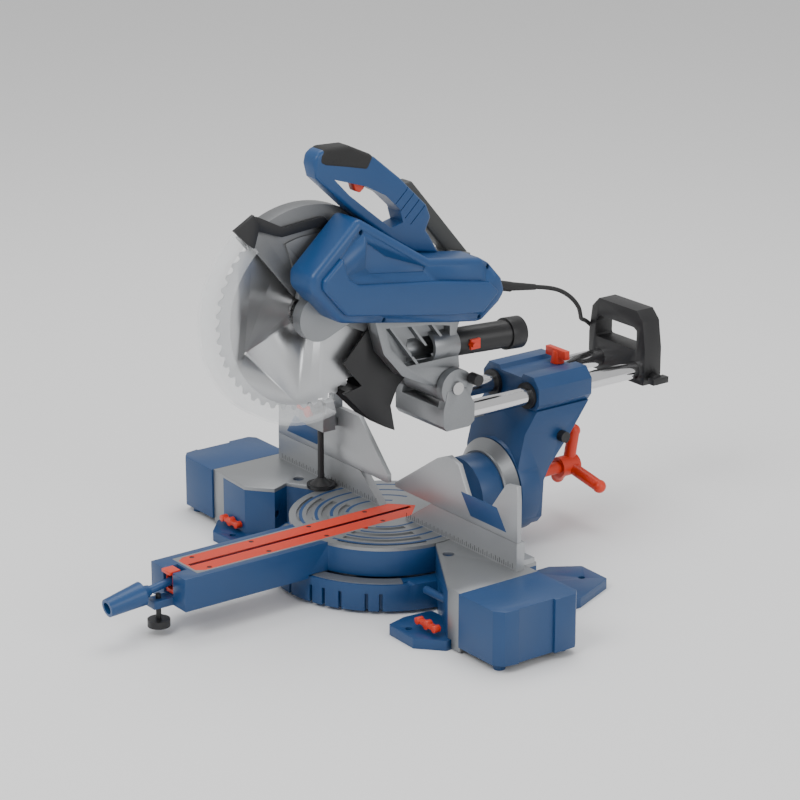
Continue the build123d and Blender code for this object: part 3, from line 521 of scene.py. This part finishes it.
def makeCover(c):
    shell = plate("motorCoverShell", c["outline"], "x", c["inner"], c["step"], c["rim"], 4)
    cutter = rod("boreCut", (20, -40, 485), (47.4, -40, 485), 30)
    carve(shell, cutter)
    carve(shell, plate("recessCut", c["recess"], "x", c["step"] - 3, c["step"] + 12, 1.2))
    for y, z in c["screws"]:
        carve(shell, rod("screwCut", (c["step"] - 12, y, z), (c["step"] + 12, y, z), 4.2, width=0))
    placed(shell, "head", "blue_plastic", "bluePlastic", "motor_cover")
    panel = plate("motorCoverPanel", c["panel"], "x", c["step"] - 4, c["outer"], 4.5, 4)
    placed(panel, "head", "blue_plastic", "bluePlastic")
    screws = []
    for i, (y, z) in enumerate(c["screws"]):
        head = rod(f"coverScrew{i}", (c["step"] - 12, y, z), (c["step"] - 8, y, z), 3.6, width=0.5,
            sides=20)
        carve(head, rod("driveCut", (c["step"] - 10, y, z), (c["step"] - 6, y, z), 1.6, sides=6, width=0))
        screws.append(head)
    placed(joined("coverScrews", screws), "head", "black_plastic", "blackPlastic")


makeCover(coverSet)
print("motor cover ready")

# ---------- D-handle, grip and carry bar ----------
handleSet = {
    "outline": [(-157, 680), (-154, 694), (-143, 702), (-95, 700), (-48, 678), (-2, 640), (47, 592),
        (56, 572), (46, 552),
                (52, 545), (72, 512), (20, 523), (-20, 548), (-90, 602), (-152, 660)],
    "finger": [(-122, 655), (-66, 637), (-30, 618), (-4, 593), (2, 572), (-20, 566), (-62, 600),
        (-96, 628)],
    "low": 13.5, "high": 46.5, "round": 6,
    "grip": [(-150, 682), (-147, 695), (-139, 704), (-95, 702), (-50, 681), (-62, 659), (-100, 668),
        (-138, 676)],
    "trigger": [(-139, 670), (-134, 654), (-122, 650), (-112, 655), (-84, 646), (-79, 630), (-70, 626),
        (-62, 632), (-64, 644), (-88, 656)],
    "ribs": [((12, 624), (-14, 600)), ((22, 613), (-4, 589)), ((32, 602), (6, 578)),
        ((42, 591), (16, 567))],
}


def makeHandle(h):
    body = plate("handleBody", h["outline"], "x", h["low"], h["high"], h["round"], 4)
    carve(body, plate("fingerCut", h["finger"], "x", h["low"] - 5, h["high"] + 5, 0))
    carve(body, plate("triggerCut", [(y + 1, z + 1.5) for y, z in h["trigger"]], "x", 21, 39, 0))
    for (y0, z0), (y1, z1) in h["ribs"]:
        groove = block("ribCut", (h["low"] - 2, -18, -0.8), (h["high"] + 2, 18, 0.8), 0)
        groove.rotation_euler = (math.atan2(z0 - z1, y0 - y1), 0, 0)
        groove.location = (0, (y0 + y1) / 2 * mm, (z0 + z1) / 2 * mm)
        freeze(groove)
        core = block("ribCore", (h["low"] + 1.2, -16.6, -1.5), (h["high"] - 1.2, 16.2, 1.5), 0)
        core.rotation_euler = (math.atan2(z0 - z1, y0 - y1), 0, 0)
        core.location = (0, (y0 + y1) / 2 * mm, (z0 + z1) / 2 * mm)
        freeze(core)
        carve(groove, core)
        carve(body, groove)
    bevelled(body, 0.5, 1, 50)
    placed(body, "head", "blue_plastic", "bluePlastic", "handle_shells")
    grip = plate("gripSleeve", h["grip"], "x", 12.2, 47.8, 7, 4)
    placed(grip, "head", "rubber", "softRubber", "grip_pad")
    trigger = plate("triggerLever", h["trigger"], "x", 22, 38, 2.2, 3)
    placed(trigger, "trigger", "orange", "orangePlastic", "trigger")


makeHandle(handleSet)


def makeCarryBar():
    line = [(20, 612), (32, 621), (44, 622), (54, 610), (152, 494), (128, 480), (60, 560), (38, 592),
        (22, 598)]
    bar = plate("carryBar", line, "x", -13, 12.8, 3.5, 3)
    placed(bar, "head", "black_plastic", "greyPlastic", "carry_handle")


makeCarryBar()
print("handles ready")

# ---------- softened copies of cast and moulded nodes ----------
softSet = {
    "base_casting": ("base", "blue_paint", "bluePaint", 1.6),
        "turntable_casting": ("turntable", "blue_paint", "bluePaint", 1.6),
    "side_tables": ("base", "cast_grey", "machinedAlloy", 0.8),
    "side_box_left": ("box_left", "blue_paint", "bluePaint", 2.5),
        "side_box_right": ("box_right", "blue_paint", "bluePaint", 2.5),
    "tilt_arm": ("tilt", "blue_paint", "bluePaint", 3.0),
        "arm_carrier": ("carriage", "cast_grey", "castAlloy", 2.5),
    "rear_bracket": ("carriage", "black_plastic", "blackPlastic", 3.0),
        "head_casting": ("head", "cast_grey", "castAlloy", 1.0),
    "upper_guard": ("head", "cast_grey", "guardAlloy", 0.8),
        "dust_chute": ("head", "black_plastic", "blackPlastic", 1.0),
    "dust_port": ("head", "black_plastic", "blackPlastic", 1.0),
        "clamp_column": ("base", "cast_grey", "castAlloy", 1.6),
    "fence_upper_left": ("fence_left", "machined", "fenceAlloy", 0.6),
        "fence_upper_right": ("fence_right", "machined", "fenceAlloy", 0.6),
    "slide_lock": ("slide_lock", "orange", "orangePlastic", 2.0),
        "box_latch_left": ("latch_left", "orange", "orangePlastic", 1.2),
    "box_latch_right": ("latch_right", "orange", "orangePlastic", 1.2),
        "clamp_lever": ("clamp_lever", "orange", "orangePlastic", 1.0),
    "guard_link": ("guard_link", "black_plastic", "blackPlastic", 0.9),
        "detent_lever": ("detent_lever", "orange", "orangePlastic", 1.2),
    "bracket_knob": ("bracket_knob", "black_plastic", "blackPlastic", 1.2),
        "clamp_knob": ("clamp_knob", "black_plastic", "blackPlastic", 1.5),
}
for node, (body, slotName, finish, width) in softSet.items():
    softCopy(node, body, slotName, finish, width)
print("softened copies ready")

# ---------- blade, graduations and painted details ----------
bladeSet = {"centre": (-150, 451), "radius": 152.4, "root": 144.5, "teeth": 48, "half": 1.15, "bore": 13,
    "slots": (70, 205)}
fenceTicks = {"face": 13.5, "depth": 0.15, "low": 98, "long": 8, "short": 5, "step": 10,
              "rows": (("left", -300, -40), ("right", 40, 300))}
tableArcs = {"radii": (58, 82, 106, 130), "wide": 5, "clear": 38, "low": 95.4, "high": 96.05}
fencePlates = {"face": 13.5, "proud": 0.5, "left": [(-285, 150), (-200, 150), (-176, 182), (-262, 182)],
               "right": [(285, 150), (200, 150), (176, 182), (262, 182)]}


def makeBlade(b):
    y0, z0 = b["centre"]
    points = []
    for i in range(b["teeth"]):
        turn = math.tau / b["teeth"]
        for part, r in ((0.0, b["radius"]), (0.26, b["radius"] - 1.4), (0.40, b["root"]),
            (0.72, b["root"] + 1.5)):
            a = turn * (i + part)
            points.append((y0 + r * math.cos(a), z0 + r * math.sin(a)))
    disc = plate("sawBlade", points, "x", -b["half"], b["half"], 0)
    for angle in b["slots"]:
        a = math.radians(angle)
        start = (-4, y0 + 112 * math.cos(a), z0 + 112 * math.sin(a))
        carve(disc, rod("slotEnd", start, (4, start[1], start[2]), 2.6, width=0, sides=20))
    carve(disc, rod("boreCut", (-4, y0, z0), (4, y0, z0), b["bore"], width=0))
    return placed(disc, "blade", "blade_steel", "bladeSteel", "blade")


def makeFenceTicks(f):
    y = f["face"]
    for side, start, end in f["rows"]:
        count = int((end - start) / f["step"]) + 1
        tall = repeated(block("tallTick", (start - 0.4, y - f["depth"], f["low"]),
            (start + 0.4, y + 0.3, f["low"] + f["long"]), 0),
                        count, (f["step"], 0, 0))
        small = repeated(block("smallTick", (start + 4.7, y - f["depth"], f["low"]),
            (start + 5.3, y + 0.3, f["low"] + f["short"]), 0),
                         count - 1, (f["step"], 0, 0))
        placed(joined(side + "FenceTicks", [tall, small]), "base", "machined", "inkBlack")


def makeTableArcs(t):
    arcs = []
    for radius in t["radii"]:
        limit = math.acos(t["clear"] / radius)
        for middle in (0, math.pi):
            angles = [middle - limit + 2 * limit * i / 24 for i in range(25)]
            outer = [((radius + t["wide"] / 2) * math.cos(a),
                (radius + t["wide"] / 2) * math.sin(a)) for a in angles]
            inner = [((radius - t["wide"] / 2) * math.cos(a),
                (radius - t["wide"] / 2) * math.sin(a)) for a in reversed(angles)]
            arcs.append(plate("tableArc", outer + inner, "z", t["low"], t["high"], 0))
    placed(joined("tableArcs", arcs), "turntable", "blue_paint", "bluePaint")


def makeFencePlates(p):
    for side in ("left", "right"):
        panel = plate(side + "FencePlate", p[side], "y", p["face"] - p["proud"], p["face"] + 1, 0.3)
        placed(panel, "fence_" + side, "blue_paint", "bluePaint")


makeBlade(bladeSet)
makeFenceTicks(fenceTicks)
makeTableArcs(tableArcs)
makeFencePlates(fencePlates)
print("blade and markings ready")

# ---------- floor and light ----------
def makeStage():
    clearSelection()
    bpy.ops.mesh.primitive_plane_add(size=40)
    floor = bpy.context.object
    floor.name = "studioFloor"
    mat = bpy.data.materials.new("studioFloor")
    mat.use_nodes = True
    shader = mat.node_tree.nodes["Principled BSDF"]
    shader.inputs["Base Color"].default_value = (0.86, 0.86, 0.86, 1)
    shader.inputs["Roughness"].default_value = 0.9
    floor.data.materials.append(mat)
    world = bpy.data.worlds.new("studio")
    world.use_nodes = True
    world.node_tree.nodes["Background"].inputs[0].default_value = (1, 1, 1, 1)
    world.node_tree.nodes["Background"].inputs[1].default_value = 0.7
    bpy.context.scene.world = world
    for name, place, size, power in (("keyLight", (0.6, -2.6, 2.9), 1.8, 62), ("topLight", (-0.5, 0.6, 3.2),
        2.2, 52),
                                     ("sideLight", (3.4, 0.6, 1.6), 1.6, 30)):
        data = bpy.data.lights.new(name, "AREA")
        data.size = size
        data.energy = power
        lamp = bpy.data.objects.new(name, data)
        lamp.location = place
        aim = Vector((0, 0, 0.3)) - Vector(place)
        lamp.rotation_euler = aim.to_track_quat("-Z", "Y").to_euler()
        bpy.context.collection.objects.link(lamp)


makeStage()
print("stage ready")
